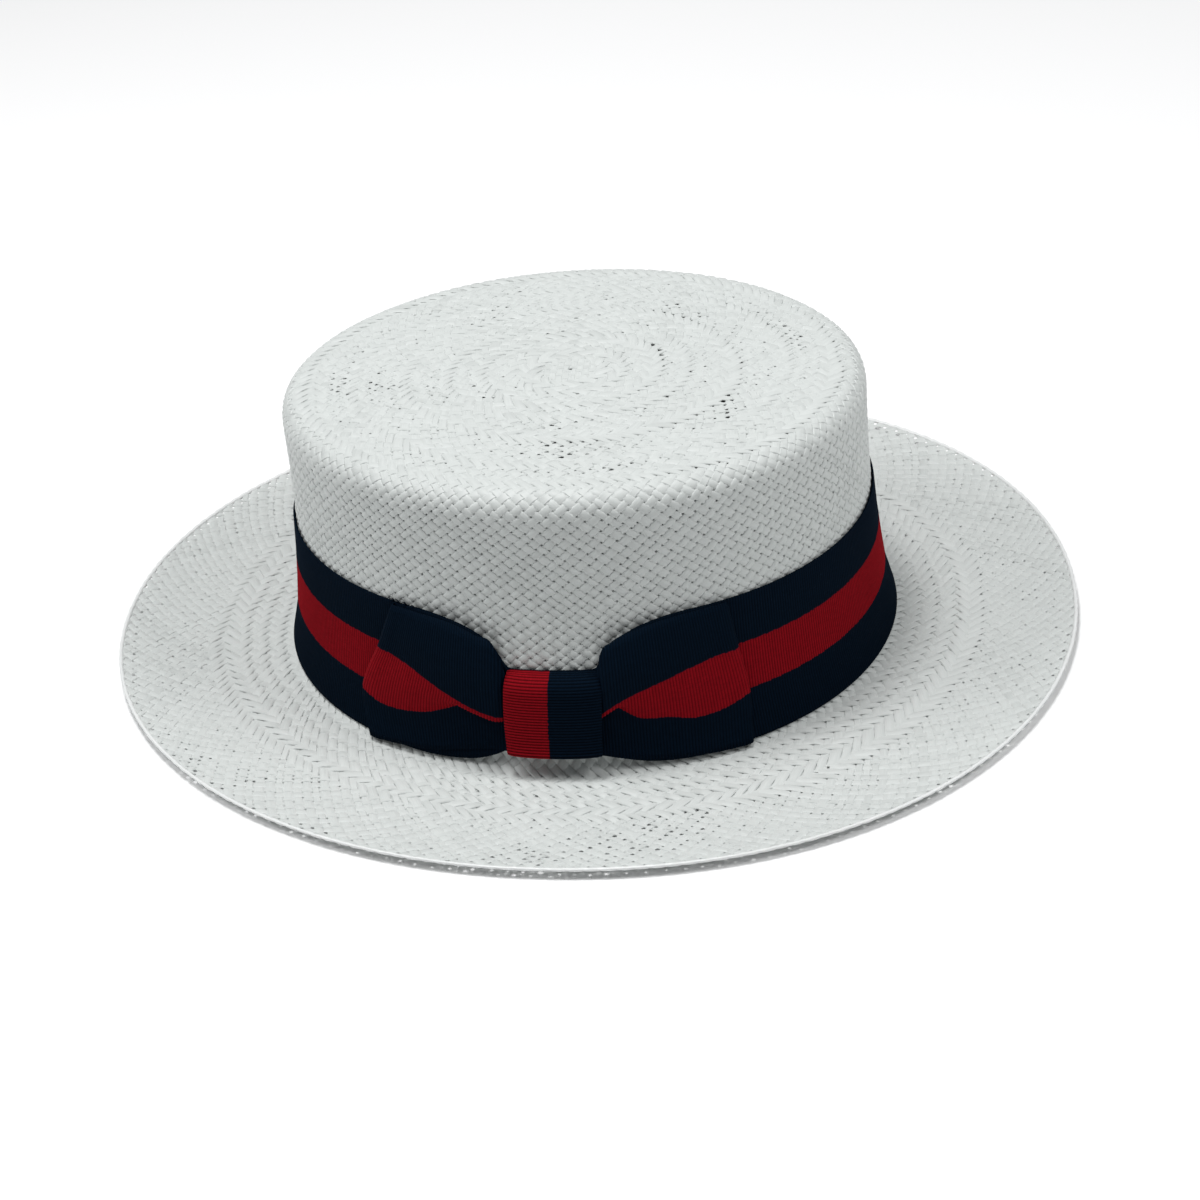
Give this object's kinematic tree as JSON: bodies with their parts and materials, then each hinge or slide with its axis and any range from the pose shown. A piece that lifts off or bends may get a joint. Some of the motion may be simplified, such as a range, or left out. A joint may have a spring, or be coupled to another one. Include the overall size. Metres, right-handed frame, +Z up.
{
  "type": "straw boater hat",
  "caption": "Straw boater hat with a flat-topped crown, a flat round brim, a striped ribbon band and a flat tailored bow on its left side.",
  "frame": {"origin": "centre of the hat's bounding box, on the surface that the brim's underside rests on", "axes": "+Z up, through the crown; +X towards the back of the hat; the bow is on the -Y side, the wearer's left"},
  "size_m": [0.323, 0.2794, 0.0947],
  "materials": {
    "straw": "bleached white hand-woven straw, matte with a faint sheen",
    "ribbon": "matte ribbed grosgrain, navy with a dark red stripe along its middle"
  },
  "bodies": {
    "root": {"straw_body": "straw", "ribbon_band": "ribbon", "bow_loop_front": "ribbon", "bow_loop_back": "ribbon", "bow_knot": "ribbon"}
  },
  "joints": []
}
